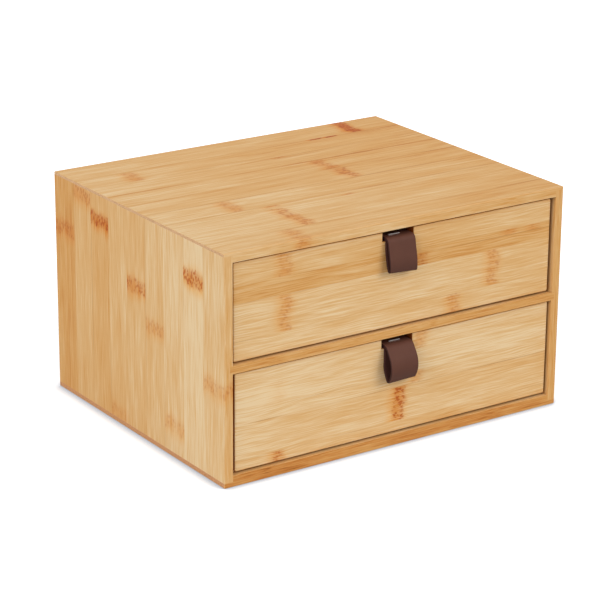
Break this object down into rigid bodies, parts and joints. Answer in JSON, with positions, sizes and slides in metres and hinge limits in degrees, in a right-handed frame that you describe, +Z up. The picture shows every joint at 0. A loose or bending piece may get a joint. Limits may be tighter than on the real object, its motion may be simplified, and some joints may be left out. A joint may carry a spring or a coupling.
{
  "type": "desk drawer organizer",
  "caption": "Bamboo desktop organizer: a rabbeted box with stacked drawers that slide out by looped strap pulls stapled in notches.",
  "frame": {"origin": "centre of the carcass's underside, on the surface it stands on", "axes": "+X to the right seen from the front, along the longest side; +Y towards the back; +Z up; the drawers open towards -Y"},
  "size_m": [0.25, 0.2072, 0.145],
  "materials": {
    "carcass_bamboo": "satin clear lacquer on laminated bamboo strips",
    "drawer_bamboo": "satin clear lacquer on laminated bamboo strips",
    "drawer_bottom_bamboo": "plain sanded bamboo ply",
    "strap_leather": "smooth dark-brown strap with cut edges",
    "steel_wire": "bright drawn wire"
  },
  "bodies": {
    "carcass": {"top_panel": "carcass_bamboo", "bottom_panel": "carcass_bamboo", "left_side_panel": "carcass_bamboo", "right_side_panel": "carcass_bamboo", "middle_shelf": "carcass_bamboo", "back_panel": "carcass_bamboo"},
    "upper_drawer": {"upper_drawer_front": "drawer_bamboo", "upper_drawer_left_side": "drawer_bamboo", "upper_drawer_right_side": "drawer_bamboo", "upper_drawer_back": "drawer_bamboo", "upper_drawer_bottom": "drawer_bottom_bamboo", "upper_drawer_pull": "strap_leather", "upper_drawer_brads": "steel_wire", "upper_pull_staple": "steel_wire"},
    "lower_drawer": {"lower_drawer_front": "drawer_bamboo", "lower_drawer_left_side": "drawer_bamboo", "lower_drawer_right_side": "drawer_bamboo", "lower_drawer_back": "drawer_bamboo", "lower_drawer_bottom": "drawer_bottom_bamboo", "lower_drawer_pull": "strap_leather", "lower_drawer_brads": "steel_wire", "lower_pull_staple": "steel_wire"}
  },
  "joints": [
    {"name": "upper_drawer_slide", "type": "slide", "parent": "carcass", "child": "upper_drawer", "axis": [0, -1, 0], "range_m": [0, 0.15]},
    {"name": "lower_drawer_slide", "type": "slide", "parent": "carcass", "child": "lower_drawer", "axis": [0, -1, 0], "range_m": [0, 0.15]}
  ]
}
